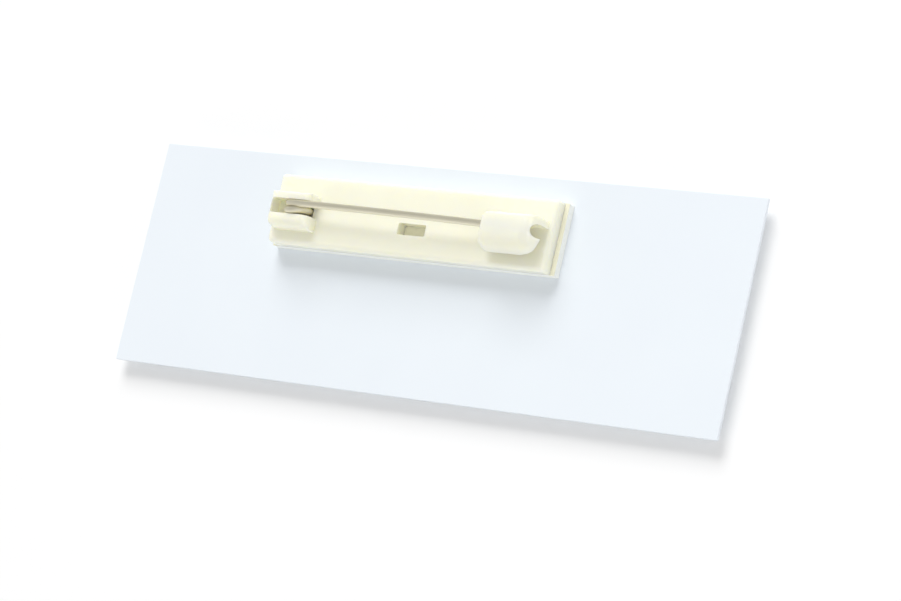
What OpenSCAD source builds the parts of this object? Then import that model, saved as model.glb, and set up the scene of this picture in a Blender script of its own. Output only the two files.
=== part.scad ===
// Name badge that lies face down, with a moulded bar pin stuck to its back.
// X runs along the badge, Y towards its upper edge and Z out of its back.
// The origin is the middle of the front face, which rests on the table.
// Lengths are in millimetres and angles in degrees.

/* [Badge plate] */
// Length of the plate
plate_l = 76.2; // [70:0.1:90]
// Width of the plate
plate_w = 25.4; // [24:0.1:40]
// Thickness of the plate
plate_t = 1.6; // [1.4:0.1:3]
// Bevel along the four front edges
front_bevel = 1.2; // [0.2:0.1:1.2]

/* [Bar pin place] */
// Middle of the bar pin, from the middle of the plate along X
pin_x = -2.2; // [-4:0.1:4]
// Middle of the bar pin, from the middle of the plate along Y
pin_y = 5.95; // [-6:0.05:6]

/* [Foam tape] */
// Thickness of the tape
tape_t = 1; // [0.6:0.1:1.6]
// How far the tape shows past the right end of the base
tape_ledge = 0.5; // [0.1:0.1:1]

/* [Pin base] */
// Length of the moulded base
base_l = 35.4; // [35.2:0.1:38]
// Width of the moulded base
base_w = 7.9; // [7.6:0.1:9]
// Thickness of the moulded base
base_t = 1.5; // [1.4:0.1:2]
// Rounding of the base's upper edges
base_round = 0.5; // [0.2:0.1:0.6]
// Length of the window through the base
window_l = 3.5; // [2:0.1:5]
// Width of the window through the base
window_w = 1.3; // [1:0.1:2]
// Middle of the window, from the left end of the base
window_x = 18.25; // [16:0.05:20]
// Middle of the window, from the near edge of the base
window_y = 3; // [2:0.1:4]

/* [Hinge] */
// Left end of the hinge cheeks, from the left end of the base
hinge_x = 0.3; // [0:0.1:0.4]
// Near face of the hinge cheeks, from the near edge of the base
hinge_y = 1.5; // [1:0.05:2]
// Width over both cheeks
hinge_w = 4; // [3.8:0.05:4.6]
// Height of the cheeks above the base
cheek_h = 1.8; // [1.6:0.1:2.4]
// Length of the cheeks
cheek_l = 5.6; // [5.6:0.1:6.5]
// Thickness of the wall that closes the slot between the cheeks at its left end
back_wall = 0.4; // [0.3:0.05:0.6]

/* [Catch] */
// Left end of the catch, from the left end of the base
catch_x = 28.1; // [27.5:0.1:28.4]
// Length of the catch
catch_l = 6.8; // [6:0.1:6.8]
// Near face of the catch, from the near edge of the base
catch_y = 1; // [1:0.05:1.1]
// Width of the catch
catch_w = 4.4; // [4.4:0.05:4.6]
// Height of the catch above the base
catch_h = 2.65; // [2.65:0.05:3.2]
// Thickness of the catch's roof
roof_t = 0.4; // [0.4:0.05:0.6]
// Width of the near jaw, which hangs over the mouth
jaw_w = 2.1; // [2:0.05:2.15]
// Height of the mouth under the near jaw
mouth_h = 1.1; // [0.9:0.1:1.2]
// Width of the tunnel behind the near jaw
tunnel_w = 1.45; // [1.4:0.05:1.6]

/* [Pin wire] */
// Line of the wire at its coil, from the near edge of the base
wire_line = 4.22; // [4.1:0.01:4.3]
// Diameter of the wire
wire_d = 0.75; // [0.6:0.01:0.75]
// Radius of the coil, to the middle of the wire
coil_r = 1.2; // [1.1:0.05:1.25]
// How far the coil's end runs on past its first full turn
coil_tail = 120; // [60:10:140]
// Middle of the coil, from the left end of the base
coil_x = 3.7; // [3.6:0.05:4]
// Middle of the coil, above the base
coil_z = 0.55; // [0.5:0.05:0.8]
// Length of the arm, with its point
arm_l = 28.8; // [27.5:0.1:28.8]
// Radius of the arm's slight bow
arm_bow_r = 300; // [250:10:400]
// Lean of the arm towards the near edge
arm_lean = 0.45; // [0:0.05:0.8]
// Length of the point
point_l = 2.6; // [1.5:0.1:3]

/* [Hidden] */
$fn = 64;

// Air between stuck faces, and beside the wire in its slots
seam = 0.02;
side_air = 0.08;

// Overshoot of the cuts, and depth to which raised forms root in the base
over = 1;
root = 0.4;

// Levels of the stacked faces
tape_z = plate_t + seam;
base_z = tape_z + tape_t + seam;
base_top = base_z + base_t;

// Lower left corner of the base
base_x0 = pin_x - base_l / 2;
base_y0 = pin_y - base_w / 2;

// Slot between the hinge cheeks, for two strands of the coil side by side
coil_pitch = wire_d + seam;
slot_w = coil_pitch + wire_d + 2 * side_air;
slot_near = wire_line + wire_d / 2 + side_air - slot_w;

// Rounding of the base's near left corner
base_corner_r = 0.9;

// Roundings of the hinge cheeks
cheek_near_r = 1.1;
cheek_far_r = 0.3;
cheek_left_r = 1;
cheek_right_r = 1;
cheek_corner_r = 1;

// Roundings of the catch
catch_near_r = 2.6;
catch_far_r = 0.5;
catch_left_r = 0.3;
catch_right_r = 2;
catch_far_corner_r = 1;
catch_near_corner_r = 2;
catch_mouth_corner_r = 1.2;
tunnel_round = 0.6;

// Pocket under the coil
pocket_r = coil_r + wire_d / 2 + 0.12;

// Wire: middle of the far strand, sides of the wire and steps of its rings
wire_y = base_y0 + wire_line;
wire_sides = 16;
coil_step = 10;
arm_steps = 16;
point_steps = 4;
point_r = 0.06;

// Where the arm enters the catch, seen from the coil's middle: it lies just below the roof
roof_air = 0.1;
hold = [catch_x - coil_x, catch_h - roof_t - roof_air - wire_d / 2 - coil_z];

// Slope at which the arm leaves the coil, so that its bow passes that place
bow_centre_r = arm_bow_r - coil_r;
hold_chord = norm(hold);
arm_slope = atan2(hold[1], hold[0])
    + asin((hold_chord ^ 2 + bow_centre_r ^ 2 - arm_bow_r ^ 2) / (2 * bow_centre_r * hold_chord));

// Rectangle that stands on the axis, with its upper corners rounded
module topped(w, h, left_r, right_r) {
    difference() {
        square([w, h]);
        difference() {
            translate([-over, h - left_r])
                square([left_r + over, left_r + over]);
            translate([left_r, h - left_r])
                circle(left_r);
        }
        difference() {
            translate([w - right_r, h - right_r])
                square([right_r + over, right_r + over]);
            translate([w - right_r, h - right_r])
                circle(right_r);
        }
    }
}

// Extrusion along X of an outline drawn in Y and Z
module along_x(l) {
    rotate([90, 0, 90])
        linear_extrude(l)
            children();
}

// Extrusion along Y of an outline drawn in X and Z
module along_y(w) {
    translate([0, w, 0])
        rotate([90, 0, 0])
            linear_extrude(w)
                children();
}

// What a rounded upright corner takes off, with the corner at the origin and the block at +X +Y
module corner_cut(r, h) {
    translate([0, 0, -over])
        linear_extrude(h + 2 * over)
            difference() {
                translate([-over, -over])
                    square([r + over, r + over]);
                translate([r, r])
                    circle(r);
            }
}

// Wedge that bevels one front edge of the plate, lying along X at the origin
module bevel_cut(l) {
    translate([-l / 2 - over, 0, 0])
        along_x(l + 2 * over)
            polygon([
                [-over, -over],
                [front_bevel + over, -over],
                [-over, front_bevel + over]
            ]);
}

module badge_plate() {
    color("ghostwhite")
        difference() {
            translate([-plate_l / 2, -plate_w / 2, 0])
                cube([plate_l, plate_w, plate_t]);
            for (side = [0, 180])
                rotate([0, 0, side])
                    translate([0, -plate_w / 2, 0])
                        bevel_cut(plate_l);
            for (side = [90, 270])
                rotate([0, 0, side])
                    translate([0, -plate_l / 2, 0])
                        bevel_cut(plate_w);
        }
}

module foam_tape() {
    color("beige")
        translate([base_x0, base_y0, tape_z])
            cube([base_l + tape_ledge, base_w, tape_t]);
}

// Flat bar of the base, rounded along its upper edges
module base_bar() {
    difference() {
        intersection() {
            along_x(base_l)
                topped(base_w, base_t, base_round, base_round);
            translate([0, -over, 0])
                along_y(base_w + 2 * over)
                    topped(base_l, base_t, base_round, base_round);
        }
        corner_cut(base_corner_r, base_t);
    }
}

// The two hinge cheeks and the wall behind them, before the slot is cut
module hinge_block() {
    difference() {
        intersection() {
            translate([0, hinge_y, base_t - root])
                along_x(cheek_l)
                    topped(hinge_w, cheek_h + root, cheek_near_r, cheek_far_r);
            translate([0, 0, base_t - root])
                along_y(base_w)
                    topped(cheek_l, cheek_h + root, cheek_left_r, cheek_right_r);
        }
        translate([0, hinge_y, base_t])
            corner_cut(cheek_corner_r, cheek_h);
    }
}

// Slot for the coil, open at the top and the right, with a round pocket in the base
module hinge_slot() {
    translate([hinge_x + back_wall, slot_near, base_t])
        cube([cheek_l, slot_w, cheek_h + over]);
    translate([coil_x, slot_near + slot_w, base_t + coil_z])
        rotate([90, 0, 0])
            cylinder(r = pocket_r, h = slot_w);
}

// Hook of the catch seen along X: far wall, roof and near jaw over the open mouth
module hook_outline() {
    difference() {
        topped(catch_w, catch_h + root, catch_near_r, catch_far_r);
        translate([-over, -over])
            square([jaw_w + over, mouth_h + root + over]);
        translate([jaw_w, 0])
            topped(tunnel_w, catch_h - roof_t + root, tunnel_round, tunnel_round);
        translate([-over, -over])
            square([jaw_w + tunnel_w + over, root + over]);
    }
}

module catch_hook() {
    difference() {
        intersection() {
            translate([0, catch_y, base_t - root])
                along_x(catch_l)
                    hook_outline();
            translate([0, 0, base_t - root])
                along_y(base_w)
                    topped(catch_l, catch_h + root, catch_left_r, catch_right_r);
        }
        translate([0, catch_y + catch_w, base_t])
            mirror([0, 1, 0])
                corner_cut(catch_far_corner_r, catch_h);
        translate([catch_l, catch_y, base_t])
            mirror([1, 0, 0])
                corner_cut(catch_near_corner_r, catch_h);
        translate([0, catch_y, base_t])
            corner_cut(catch_mouth_corner_r, catch_h);
    }
}

module window_cut() {
    translate([window_x - window_l / 2, window_y - window_w / 2, -over])
        cube([window_l, window_w, base_t + 2 * over]);
}

module pin_base() {
    color("lightyellow")
        translate([base_x0, base_y0, base_z])
            difference() {
                union() {
                    base_bar();
                    translate([hinge_x, 0, 0])
                        hinge_block();
                    translate([catch_x, 0, 0])
                        catch_hook();
                }
                hinge_slot();
                window_cut();
            }
}

// One ring of the wire: its middle, the way that its top faces in X and Z, and its radius
function wire_ring(middle, up, r) = [
    for (side = [0:wire_sides - 1])
        let (turn = 360 * side / wire_sides)
        middle + r * [cos(turn) * up[0], sin(turn), cos(turn) * up[1]]
];

// Middle of the coil, and where on it the arm leaves
coil_middle = [base_x0 + coil_x, wire_y, base_top + coil_z];
leave = 90 + arm_slope;

// Share of the sideways step between the coil's strands that is made at an angle past the arm
function coil_share(past) = max(0, min(1, (past - coil_tail) / (360 - coil_tail)));

// Ring of the coil at an angle past the point where the arm leaves
function coil_ring(past) =
    let (up = [cos(leave + past), sin(leave + past)])
    wire_ring(
        coil_middle + coil_r * [up[0], 0, up[1]] - [0, coil_pitch * coil_share(past), 0],
        up,
        wire_d / 2
    );

// Ring of the arm at a length along it, on an arc that bends down from the coil
function arm_ring(along) =
    let (
        bend = along / arm_bow_r * 180 / PI,
        up = [cos(leave - bend), sin(leave - bend)],
        start = [cos(leave), sin(leave)],
        bow = arm_bow_r * (up - start),
        left = arm_l - along,
        r = left >= point_l ? wire_d / 2 : point_r + (wire_d / 2 - point_r) * sqrt(left / point_l)
    )
    wire_ring(
        coil_middle + [coil_r * start[0] + bow[0], -along * tan(arm_lean), coil_r * start[1] + bow[1]],
        up,
        r
    );

coil_rings = [
    for (past = [360 + coil_tail:-coil_step:coil_step])
        coil_ring(past)
];
arm_rings = [
    for (i = [0:arm_steps])
        arm_ring((arm_l - point_l) * i / arm_steps)
];
point_rings = [
    for (i = [1:point_steps])
        arm_ring(arm_l - point_l + point_l * i / point_steps)
];
wire_rings = concat(coil_rings, arm_rings, point_rings);

module pin_wire() {
    last = len(wire_rings) - 1;
    color("lightsteelblue")
        polyhedron(
            points = [for (one = wire_rings) each one],
            faces = concat(
                [[for (i = [wire_sides - 1:-1:0]) i]],
                [
                    for (k = [0:last - 1], i = [0:wire_sides - 1])
                        let (j = (i + 1) % wire_sides)
                        [
                            k * wire_sides + i,
                            k * wire_sides + j,
                            (k + 1) * wire_sides + j,
                            (k + 1) * wire_sides + i
                        ]
                ],
                [[for (i = [0:wire_sides - 1]) last * wire_sides + i]]
            )
        );
}

badge_plate();
foam_tape();
pin_base();
pin_wire();
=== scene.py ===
"""Name badge lying face down: white engraving sheet, foam tape, ivory bar pin and its steel wire.

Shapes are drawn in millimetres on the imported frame's own axes, and each finished mesh is turned
into metres at the end. X runs from hinge to catch, Y to the far long edge, Z out of the back.
"""

import math

import bmesh
import bpy
from mathutils import Matrix, Quaternion, Vector


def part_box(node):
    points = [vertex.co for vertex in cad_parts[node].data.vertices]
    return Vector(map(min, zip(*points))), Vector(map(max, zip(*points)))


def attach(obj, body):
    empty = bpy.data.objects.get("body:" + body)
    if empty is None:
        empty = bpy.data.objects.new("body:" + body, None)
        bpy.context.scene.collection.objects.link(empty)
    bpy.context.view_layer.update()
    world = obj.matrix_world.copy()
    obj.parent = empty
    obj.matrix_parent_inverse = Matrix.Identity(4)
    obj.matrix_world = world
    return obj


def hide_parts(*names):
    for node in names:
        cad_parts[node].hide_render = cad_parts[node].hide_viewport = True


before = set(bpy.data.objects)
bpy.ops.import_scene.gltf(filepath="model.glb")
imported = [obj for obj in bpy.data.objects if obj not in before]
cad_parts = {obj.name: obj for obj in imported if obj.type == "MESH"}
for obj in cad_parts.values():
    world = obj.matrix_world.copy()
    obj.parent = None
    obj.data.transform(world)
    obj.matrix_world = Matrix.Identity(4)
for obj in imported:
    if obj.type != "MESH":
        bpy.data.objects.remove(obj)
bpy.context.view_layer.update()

MM = 0.001

# ---- Places on the object, in millimetres, as the solids have them ----

PLATE_LOW, PLATE_HIGH = (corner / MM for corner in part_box("badge_plate"))
TAPE_LOW, TAPE_HIGH = (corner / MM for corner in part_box("foam_tape"))
BASE_LOW, BASE_HIGH = (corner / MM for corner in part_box("pin_base"))

FRONT_BEVEL = 1.2        # 45 degree bevel along the front edges of the plate
EDGE_BREAK = 0.05        # what polishing takes off each sawn edge of the plate
FOAM_GAP = 0.002         # between the foam and the bar that it carries
FOAM_DRAW = 0.05         # how far the foam's sides draw in at mid height
FILM_THICK = 0.06        # adhesive on the foam's upper face
BAR_THICK = 1.5
BAR_TOP = BASE_LOW.z + BAR_THICK
MOULD_RADIUS = 0.09
ROOT = 0.3               # how deep raised forms reach into the bar, unseen
CUT_PAST = 1             # how far a cutting shape runs on past what it cuts

HINGE_LONG, HINGE_WIDE, HINGE_TALL = 5.6, 4.0, 1.8
HINGE_LOW = Vector((BASE_LOW.x + 0.3, BASE_LOW.y + 1.5, BAR_TOP - ROOT))
HINGE_HIGH = Vector((HINGE_LOW.x + HINGE_LONG, HINGE_LOW.y + HINGE_WIDE, BAR_TOP + HINGE_TALL))
BACK_WALL = 0.4          # what stands of the hinge behind its slot

CATCH_LONG, CATCH_WIDE = 6.8, 4.4
CATCH_LOW = Vector((BASE_LOW.x + 28.1, BASE_LOW.y + 1.0, BAR_TOP - ROOT))
CATCH_HIGH = Vector((CATCH_LOW.x + CATCH_LONG, CATCH_LOW.y + CATCH_WIDE, BASE_HIGH.z))
CATCH_ROOF = 0.4
JAW_WIDE = 2.1           # from the hood's near side to its tunnel
TUNNEL_WIDE = 1.45
MOUTH_HIGH = 1.1         # the opening under the hood's near side

WINDOW_LOW = Vector((BASE_LOW.x + 16.5, BASE_LOW.y + 2.35, BASE_LOW.z - CUT_PAST))
WINDOW_HIGH = Vector((BASE_LOW.x + 20.0, BASE_LOW.y + 3.65, BAR_TOP + CUT_PAST))

WIRE_R = 0.375
STRAND_STEP = 0.77       # from one strand of the coil to the next
COIL_R = 1.2
COIL_AXIS = Vector((BASE_LOW.x + 3.7, BASE_LOW.y + 4.22, BAR_TOP + 0.55))
COIL_TAIL = 120          # degrees that the coil's end runs on past one turn
ARM_LONG = 28.8
ARM_BOW_R = 300
ARM_LEAN = 0.45          # degrees towards the near edge
POINT_LONG = 2.6
POINT_TIP = 0.1          # how wide the point's end is, of the whole wire
ROOF_AIR = 0.1           # between the wire and the catch's roof
SIDE_AIR = 0.08          # between the coil and the sides of the slot
COIL_AIR = 0.12          # round the coil in its pocket
SLOT_FAR = COIL_AXIS.y + WIRE_R + SIDE_AIR
SLOT_NEAR = SLOT_FAR - (STRAND_STEP + 2 * WIRE_R + 2 * SIDE_AIR)
POCKET_R = COIL_R + WIRE_R + COIL_AIR

SAME_LEVEL = 0.0001      # points this close to a side lie on it
MERGE = 0.004            # points closer together than this become one


# ---- Mesh helpers ----

def to_object(name, bm):
    """A new object that holds the bmesh as it is, in millimetres."""
    mesh = bpy.data.meshes.new(name)
    bm.to_mesh(mesh)
    bm.free()
    ob = bpy.data.objects.new(name, mesh)
    bpy.context.scene.collection.objects.link(ob)
    return ob


def settle(ob):
    """Makes what the object's modifiers give its own mesh."""
    bpy.context.view_layer.update()
    solved = ob.evaluated_get(bpy.context.evaluated_depsgraph_get())
    mesh = bpy.data.meshes.new_from_object(solved)
    ob.modifiers.clear()
    ob.data = mesh
    return ob


def box_mesh(low, high):
    """A box between two corners."""
    bm = bmesh.new()
    bmesh.ops.create_cube(bm, size=1)
    bmesh.ops.scale(bm, vec=high - low, verts=bm.verts)
    bmesh.ops.translate(bm, vec=(low + high) / 2, verts=bm.verts)
    return bm


def edges_on(bm, sides):
    """Edges that lie wholly on the named sides of a box, such as "+z -y"."""
    low = [min(v.co[i] for v in bm.verts) for i in range(3)]
    high = [max(v.co[i] for v in bm.verts) for i in range(3)]
    found = bm.edges[:]
    for side in sides.split():
        i = "xyz".index(side[1])
        level = high[i] if side[0] == "+" else low[i]
        found = [e for e in found if all(abs(v.co[i] - level) < SAME_LEVEL for v in e.verts)]
    return found


def rounded_box(name, low, high, rounds, steps=8):
    """A box whose edges are rounded by radii given for pairs of its sides."""
    bm = box_mesh(low, high)
    weight = bm.edges.layers.float.new("bevel_weight_edge")
    largest = max(rounds.values())
    for sides, radius in rounds.items():
        for edge in edges_on(bm, sides):
            edge[weight] = radius / largest
    ob = to_object(name, bm)
    bevel = ob.modifiers.new("round", "BEVEL")
    bevel.limit_method = "WEIGHT"
    bevel.width = largest
    bevel.segments = steps
    bevel.use_clamp_overlap = False
    return settle(ob)


def combine(ob, operation, *others):
    """Joins the others to the object, or cuts them out of it, and removes them."""
    for other in others:
        step = ob.modifiers.new(operation, "BOOLEAN")
        step.operation = operation
        step.solver = "EXACT"
        step.object = other
    settle(ob)
    for other in others:
        bpy.data.objects.remove(other)


def clean(ob, flat=0.4):
    """Merges doubled points, and flat neighbours into single faces."""
    bm = bmesh.new()
    bm.from_mesh(ob.data)
    bmesh.ops.remove_doubles(bm, verts=bm.verts, dist=MERGE)
    bmesh.ops.dissolve_limit(bm, angle_limit=math.radians(flat), verts=bm.verts, edges=bm.edges)
    bmesh.ops.recalc_face_normals(bm, faces=bm.faces)
    bm.to_mesh(ob.data)
    bm.free()
    return ob


def finish_piece(ob, body, node, material, smooth=40):
    """Turns a mesh into metres and hands the piece to the frame."""
    ob.data.transform(Matrix.Scale(MM, 4))
    ob.data.shade_smooth()
    ob.data.set_sharp_from_angle(angle=math.radians(smooth))
    ob.data.materials.clear()
    ob.data.materials.append(material)
    even = ob.modifiers.new("even_shading", "WEIGHTED_NORMAL")
    even.keep_sharp = True
    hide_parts(node)
    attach(ob, body)


# ---- Material helpers ----

def linear(hex_colour):
    """sRGB hex such as "F4F1DC" as a linear colour with alpha."""
    channels = [int(hex_colour[i:i + 2], 16) / 255 for i in (0, 2, 4)]
    return tuple(
        c / 12.92 if c <= 0.04045 else ((c + 0.055) / 1.055) ** 2.4 for c in channels
    ) + (1.0,)


def add(tree, kind, settings=None, **inputs):
    """A node with its settings, and its sockets set to values or linked to other sockets."""
    node = tree.nodes.new(kind)
    for key, value in (settings or {}).items():
        setattr(node, key, value)
    for key, value in inputs.items():
        name = key.replace("_", " ")
        socket = next(s for s in node.inputs if s.name == name and s.enabled)
        if isinstance(value, bpy.types.NodeSocket):
            tree.links.new(value, socket)
        else:
            socket.default_value = value
    return node


def scale_for(size):
    """Scale of a pattern whose grains are this many millimetres wide."""
    return 1 / (size * MM)


def new_material(name, **shader_values):
    """A material with one Principled shader, and its node tree."""
    material = bpy.data.materials.new(name)
    material.use_nodes = True
    tree = material.node_tree
    shader = tree.nodes["Principled BSDF"]
    for key, value in shader_values.items():
        shader.inputs[key.replace("_", " ")].default_value = value
    return material, tree, shader


def engraving_sheet():
    # Impact acrylic engraving sheet, calendered: satin white, with a faint orange peel
    material, tree, shader = new_material(
        "engraving_sheet_satin", Roughness=0.42, IOR=1.49, Specular_IOR_Level=0.4)
    place = add(tree, "ShaderNodeTexCoord").outputs["Object"]
    cloud = add(tree, "ShaderNodeTexNoise", Vector=place, Scale=scale_for(11.11), Detail=3.0)
    tint = add(tree, "ShaderNodeMix", {"data_type": "RGBA"}, Factor=cloud.outputs[0],
               A=linear("E3E9EF"), B=linear("E7EDF2"))
    tree.links.new(tint.outputs[2], shader.inputs["Base Color"])
    peel = add(tree, "ShaderNodeTexNoise", Vector=place, Scale=scale_for(0.714), Detail=2.0)
    bump = add(tree, "ShaderNodeBump", Strength=0.12, Distance=0.02 * MM, Height=peel.outputs[0])
    tree.links.new(bump.outputs[0], shader.inputs["Normal"])
    return material


def foam():
    # Closed-cell polyethylene foam tape, slit: white with small open cells along its cut sides,
    # and a yellowish film of acrylic adhesive on its upper face
    material, tree, shader = new_material("foam_tape_cut", Roughness=0.85, IOR=1.5)
    place = add(tree, "ShaderNodeTexCoord").outputs["Object"]
    cells = add(tree, "ShaderNodeTexVoronoi", Vector=place, Scale=scale_for(0.2222))
    tint = add(tree, "ShaderNodeMix", {"data_type": "RGBA"}, Factor=cells.outputs[0],
               A=linear("F0F2EC"), B=linear("F8F9F5"))
    height = add(tree, "ShaderNodeSeparateXYZ", Vector=place).outputs["Z"]
    film = add(tree, "ShaderNodeMath", {"operation": "GREATER_THAN"}, Value=height)
    film.inputs[1].default_value = (TAPE_HIGH.z - FILM_THICK) * MM
    face = add(tree, "ShaderNodeMix", {"data_type": "RGBA"}, Factor=film.outputs[0],
               A=tint.outputs[2], B=linear("EDEBD4"))
    tree.links.new(face.outputs[2], shader.inputs["Base Color"])
    bump = add(tree, "ShaderNodeBump", Strength=0.5, Distance=0.08 * MM, Height=cells.outputs[0])
    tree.links.new(bump.outputs[0], shader.inputs["Normal"])
    return material


def ivory():
    # Natural polypropylene, injection moulded: soft gloss, light glows a little way into it
    material, tree, shader = new_material(
        "polypropylene_ivory_moulded", Roughness=0.25, IOR=1.49,
        Subsurface_Weight=0.5, Subsurface_Radius=(1.0, 0.9, 0.5), Subsurface_Scale=1.6 * MM)
    place = add(tree, "ShaderNodeTexCoord").outputs["Object"]
    cloud = add(tree, "ShaderNodeTexNoise", Vector=place, Scale=scale_for(3.846), Detail=3.0)
    tint = add(tree, "ShaderNodeMix", {"data_type": "RGBA"}, Factor=cloud.outputs[0],
               A=linear("F0EEDA"), B=linear("F4F3E2"))
    tree.links.new(tint.outputs[2], shader.inputs["Base Color"])
    grain = add(tree, "ShaderNodeTexNoise", Vector=place, Scale=scale_for(0.3333), Detail=2.0)
    bump = add(tree, "ShaderNodeBump", Strength=0.15, Distance=0.02 * MM, Height=grain.outputs[0])
    tree.links.new(bump.outputs[0], shader.inputs["Normal"])
    return material


def spring_wire():
    # Nickel-plated spring steel, drawn, barrel plated: satin metal, fine lines along the wire
    material, tree, shader = new_material("spring_steel_nickel_drawn", Metallic=1.0)
    # Drawing lines are finer than this on real wire, and are drawn as coarse as they show
    line_wide, line_long = 1 / 9, 4
    along = add(tree, "ShaderNodeAttribute", {"attribute_name": "straight"}).outputs["Vector"]
    lines = add(tree, "ShaderNodeMapping", Vector=along,
                Scale=(1 / line_wide, 1 / line_wide, 1 / line_long))
    streaks = add(tree, "ShaderNodeTexNoise", Vector=lines.outputs[0], Scale=1.0, Detail=4.0)
    tint = add(tree, "ShaderNodeMix", {"data_type": "RGBA"}, Factor=streaks.outputs[0],
               A=linear("DDD8C2"), B=linear("EEEAD9"))
    tree.links.new(tint.outputs[2], shader.inputs["Base Color"])
    rough = add(tree, "ShaderNodeMapRange", Value=streaks.outputs[0], To_Min=0.56, To_Max=0.70)
    tree.links.new(rough.outputs[0], shader.inputs["Roughness"])
    bump = add(tree, "ShaderNodeBump", Strength=0.1, Distance=0.01 * MM, Height=streaks.outputs[0])
    tree.links.new(bump.outputs[0], shader.inputs["Normal"])
    return material


# ---- Pieces ----

def make_plate():
    bm = box_mesh(PLATE_LOW, PLATE_HIGH)
    front = edges_on(bm, "-z")
    bmesh.ops.bevel(bm, geom=front, offset=FRONT_BEVEL, offset_type="OFFSET", affect="EDGES",
                    segments=1, profile=0.5, material=-1)
    bmesh.ops.bevel(bm, geom=bm.edges[:], offset=EDGE_BREAK, offset_type="OFFSET", affect="EDGES",
                    segments=3, profile=0.5, material=-1)
    return to_object("badge_sheet", bm)


def make_tape():
    bm = box_mesh(TAPE_LOW, Vector((TAPE_HIGH.x, TAPE_HIGH.y, BASE_LOW.z - FOAM_GAP)))
    upright = [e for e in bm.edges if abs(e.verts[0].co.z - e.verts[1].co.z) > 0.5]
    bmesh.ops.subdivide_edges(bm, edges=upright, cuts=3, use_grid_fill=True)
    # Pressed between plate and bar, the foam's sides draw in very slightly at mid height
    middle = (TAPE_LOW + TAPE_HIGH) / 2
    for v in bm.verts:
        draw = FOAM_DRAW * (1 - (2 * (v.co.z - middle.z) / (TAPE_HIGH.z - TAPE_LOW.z)) ** 2)
        v.co.x -= math.copysign(draw, v.co.x - middle.x)
        v.co.y -= math.copysign(draw, v.co.y - middle.y)
    return to_object("foam_strip", bm)


def make_moulding():
    bar = rounded_box("pin_moulding", BASE_LOW, Vector((BASE_HIGH.x, BASE_HIGH.y, BAR_TOP)), {
        "+z -y": 0.5, "+z +y": 0.5, "+z -x": 0.5, "+z +x": 0.5,
        "-x -y": 0.9, "-x +y": 0.3, "+x -y": 0.3, "+x +y": 0.3,
    })

    hinge = rounded_box("hinge", HINGE_LOW, HINGE_HIGH, {
        "+z -y": 1.1, "+z -x": 1.0, "+z +x": 1.0, "-x -y": 1.0, "+z +y": 0.3,
        "-x +y": 0.3, "+x -y": 0.15, "+x +y": 0.15,
    })
    slot = rounded_box(
        "slot", Vector((HINGE_LOW.x + BACK_WALL, SLOT_NEAR, HINGE_LOW.z - CUT_PAST)),
        Vector((HINGE_HIGH.x + CUT_PAST, SLOT_FAR, HINGE_HIGH.z + CUT_PAST)),
        {"-x -y": 0.2, "-x +y": 0.2})
    combine(hinge, "DIFFERENCE", slot)

    catch = rounded_box("catch", CATCH_LOW, CATCH_HIGH, {
        "+z -y": 2.6, "+z +x": 2.0, "+z +y": 0.5, "+z -x": 0.3,
        "+x -y": 2.0, "-x +y": 1.0, "-x -y": 1.2, "+x +y": 0.3,
    }, steps=12)
    tunnel_near = CATCH_LOW.y + JAW_WIDE
    tunnel = rounded_box(
        "tunnel", Vector((CATCH_LOW.x - CUT_PAST, tunnel_near, CATCH_LOW.z - CUT_PAST)),
        Vector((CATCH_HIGH.x + CUT_PAST, tunnel_near + TUNNEL_WIDE, CATCH_HIGH.z - CATCH_ROOF)),
        {"+z -y": 0.6, "+z +y": 0.6})
    mouth = to_object("mouth", box_mesh(
        Vector((CATCH_LOW.x - CUT_PAST, CATCH_LOW.y - CUT_PAST, CATCH_LOW.z - CUT_PAST)),
        Vector((CATCH_HIGH.x + CUT_PAST, tunnel_near + TUNNEL_WIDE / 2, BAR_TOP + MOUTH_HIGH))))
    combine(catch, "DIFFERENCE", tunnel, mouth)

    window = rounded_box("window", WINDOW_LOW, WINDOW_HIGH, {
        "-x -y": 0.15, "-x +y": 0.15, "+x -y": 0.15, "+x +y": 0.15})
    pocket = bmesh.new()
    bmesh.ops.create_cone(pocket, cap_ends=True, segments=48, radius1=POCKET_R,
                          radius2=POCKET_R, depth=SLOT_FAR - SLOT_NEAR)
    bmesh.ops.rotate(pocket, verts=pocket.verts, matrix=Matrix.Rotation(math.radians(90), 3, "X"))
    bmesh.ops.translate(pocket, verts=pocket.verts,
                        vec=(COIL_AXIS.x, (SLOT_FAR + SLOT_NEAR) / 2, COIL_AXIS.z))
    # The bar is cut before the raised forms join it, so no two faces of a cut lie in one plane
    combine(bar, "DIFFERENCE", window, to_object("pocket", pocket))
    combine(bar, "UNION", hinge, catch)
    clean(bar)
    # Every sharp edge gets the mould's radius, but those of the flat underside
    bm = bmesh.new()
    bm.from_mesh(bar.data)
    weight = bm.edges.layers.float.new("bevel_weight_edge")
    for edge in bm.edges:
        sharp = edge.is_manifold and edge.calc_face_angle() > math.radians(40)
        if sharp and max(v.co.z for v in edge.verts) > BASE_LOW.z + 0.01:
            edge[weight] = 1
    bm.to_mesh(bar.data)
    bm.free()
    soften = bar.modifiers.new("mould_radius", "BEVEL")
    soften.limit_method = "WEIGHT"
    soften.width = MOULD_RADIUS
    soften.segments = 3
    settle(bar)
    return clean(bar, flat=0.01)


def ring_verts(ring):
    """The points of one ring of edges round the wire."""
    return list(dict.fromkeys(v for e in ring for v in e.verts))


def ring_middle(ring):
    verts = ring_verts(ring)
    return sum((v.co for v in verts), Vector()) / len(verts)


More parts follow.
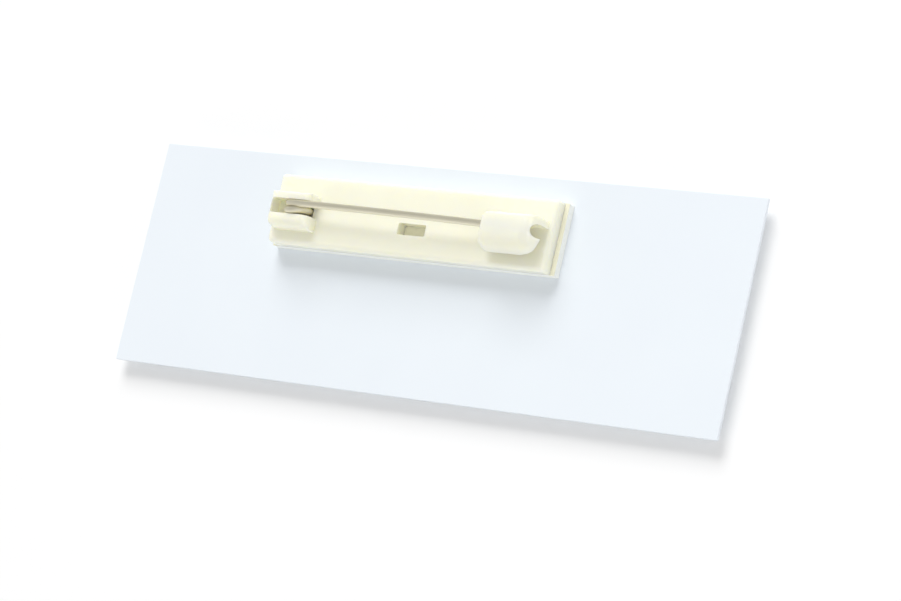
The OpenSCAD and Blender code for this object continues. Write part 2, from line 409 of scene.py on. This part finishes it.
def sweep(bm, ring, centre, turn, steps, drift=0.0):
    """Carries the wire's last ring round a centre in the X-Z plane, and returns the new last ring.

    The attribute "straight" keeps each point's place on the wire before it was bent."""
    straight = bm.verts.layers.float_vector["straight"]
    for _ in range(steps):
        old_middle = ring_middle(ring)
        made = bmesh.ops.spin(bm, geom=ring, cent=centre, axis=(0, -1, 0),
                              angle=math.radians(turn / steps), dvec=(0, drift / steps, 0), steps=1)
        ring = [g for g in made["geom_last"] if isinstance(g, bmesh.types.BMEdge)]
        walked = (ring_middle(ring) - old_middle).length
        for v in ring_verts(ring):
            v[straight] += Vector((0, 0, walked))
    return ring


def make_wire():
    # Slope at which the arm leaves the coil: its bow enters the catch just below the roof
    hold = Vector((CATCH_LOW.x - COIL_AXIS.x,
                   CATCH_HIGH.z - CATCH_ROOF - ROOF_AIR - WIRE_R - COIL_AXIS.z))
    bow = ARM_BOW_R - COIL_R
    slope = math.atan2(hold.y, hold.x) + math.asin(
        (hold.length_squared + bow ** 2 - ARM_BOW_R ** 2) / (2 * bow * hold.length))

    bm = bmesh.new()
    straight = bm.verts.layers.float_vector.new("straight")
    bmesh.ops.create_circle(bm, cap_ends=False, segments=24, radius=WIRE_R)
    for v in bm.verts:
        v[straight] = v.co
    # The ring stands across the wire at the top of the coil, and is turned back to the coil's end
    bmesh.ops.rotate(bm, verts=bm.verts, matrix=Matrix.Rotation(math.radians(90), 3, "Y"))
    bmesh.ops.translate(bm, verts=bm.verts, vec=COIL_AXIS + Vector((0, 0, COIL_R)))
    start = math.degrees(slope) + 360 + COIL_TAIL
    bmesh.ops.rotate(bm, verts=bm.verts, cent=COIL_AXIS,
                     matrix=Matrix.Rotation(math.radians(-start), 3, "Y"))
    bmesh.ops.translate(bm, verts=bm.verts, vec=(0, -STRAND_STEP, 0))
    ring = bm.edges[:]
    tail = ring
    ring = sweep(bm, ring, COIL_AXIS, -COIL_TAIL, 20)
    ring = sweep(bm, ring, COIL_AXIS, COIL_TAIL - 360, 40, STRAND_STEP)
    ring = sweep(bm, ring, COIL_AXIS, -COIL_TAIL, 20)
    up = Vector((-math.sin(slope), 0, math.cos(slope)))
    arm_centre = COIL_AXIS + up * (COIL_R - ARM_BOW_R)
    shank = ARM_LONG - POINT_LONG
    lean = -math.tan(math.radians(ARM_LEAN))
    ring = sweep(bm, ring, arm_centre, -math.degrees(shank / ARM_BOW_R), 48, shank * lean)

    # The ground point: a long taper that ends in a tiny round
    point_steps = 10
    narrow = 1.0
    for i in range(point_steps):
        left = 1 - (i + 1) / point_steps
        wide = POINT_TIP + (1 - POINT_TIP) * math.sqrt(left)
        ring = sweep(bm, ring, arm_centre, -math.degrees(POINT_LONG / point_steps / ARM_BOW_R), 1,
                     POINT_LONG / point_steps * lean)
        middle = ring_middle(ring)
        for v in ring_verts(ring):
            v.co = middle + (v.co - middle) * (wide / narrow)
        narrow = wide
    bmesh.ops.contextual_create(bm, geom=ring)
    bmesh.ops.contextual_create(bm, geom=tail)
    bmesh.ops.recalc_face_normals(bm, faces=bm.faces)
    return to_object("spring_wire", bm)


BADGE, PIN = "badge", "pin"
finish_piece(make_plate(), BADGE, "badge_plate", engraving_sheet())
finish_piece(make_tape(), BADGE, "foam_tape", foam())
finish_piece(make_moulding(), BADGE, "pin_base", ivory())
finish_piece(make_wire(), PIN, "pin_wire", spring_wire())


# ---- Floor, light and camera ----

floor_mesh = bmesh.new()
bmesh.ops.create_grid(floor_mesh, x_segments=1, y_segments=1, size=1.5)
floor = to_object("floor", floor_mesh)
paper, _, _ = new_material("white_paper", Roughness=0.9, Base_Color=linear("F4F4F4"))
floor.data.materials.append(paper)


def soft_light(name, towards, distance, size, share):
    """A square soft box in the given direction. Its share is what it adds on a level surface,
    where 1 is as much as the whole of a sky of strength 1 would give."""
    direction = Vector(towards).normalized()
    lamp = bpy.data.lights.new(name, "AREA")
    lamp.shape = "SQUARE"
    lamp.size = size
    lamp.energy = share * (math.pi * distance) ** 2 / direction.z
    ob = bpy.data.objects.new(name, lamp)
    bpy.context.scene.collection.objects.link(ob)
    ob.rotation_mode = "QUATERNION"
    ob.rotation_quaternion = direction.to_track_quat("Z", "Y")
    ob.location = direction * distance
    return ob


# The key stands beyond the far long edge, a little to the hinge's side. The fill stands at the
# catch's end, and reaches into the slot, the window and the catch
key = soft_light("key", (-0.30, 1.32, 1.0), 3.00, 1.68, 0.44)
key.visible_glossy = False   # a diffuse screen: the wire shows no streak of it
soft_light("fill", (0.53, -0.18, 0.83), 0.80, 0.20, 0.11)

world = bpy.data.worlds.new("studio")
bpy.context.scene.world = world
world.use_nodes = True
backdrop = world.node_tree.nodes["Background"]
backdrop.inputs["Color"].default_value = (1.0, 1.0, 1.0, 1.0)
# White walls stand round the table: the sky is brightest at the horizon, most of all beyond the
# near long edge
sky = world.node_tree
heading = add(sky, "ShaderNodeTexCoord").outputs["Generated"]
parts = add(sky, "ShaderNodeSeparateXYZ", Vector=heading)
walls = add(sky, "ShaderNodeMapRange", Value=parts.outputs["Z"],
            From_Max=0.40, To_Min=1.0, To_Max=0.55)
near = add(sky, "ShaderNodeMapRange", Value=parts.outputs["Y"], From_Min=0.1, From_Max=-0.9)
low = add(sky, "ShaderNodeMapRange", Value=parts.outputs["Z"],
          From_Max=0.60, To_Min=1.2, To_Max=0.0)
glow = add(sky, "ShaderNodeMath", {"operation": "MULTIPLY_ADD"})
for socket, source in zip(glow.inputs, (near, low, walls)):
    sky.links.new(source.outputs[0], socket)
sky.links.new(glow.outputs[0], backdrop.inputs["Strength"])

# The camera as the photo's perspective gives it, found from the plate's corners
EYE = Vector((187.539, -62.777, 290.330)) * MM
AIM = Vector((3.585, -1.636, 1.600)) * MM
ROLL = math.radians(-61.543)
PHOTO_WIDE, FOCAL_PIXELS, SENSOR = 901, 3275.25, 36.0

lens = bpy.data.cameras.new("camera")
lens.sensor_width = SENSOR
lens.lens = FOCAL_PIXELS / PHOTO_WIDE * SENSOR
camera = bpy.data.objects.new("camera", lens)
bpy.context.scene.collection.objects.link(camera)
camera.rotation_mode = "QUATERNION"
camera.rotation_quaternion = (AIM - EYE).to_track_quat("-Z", "Y") @ Quaternion((0, 0, 1), ROLL)
camera.location = EYE
bpy.context.scene.camera = camera
bpy.context.scene.view_settings.view_transform = "Standard"
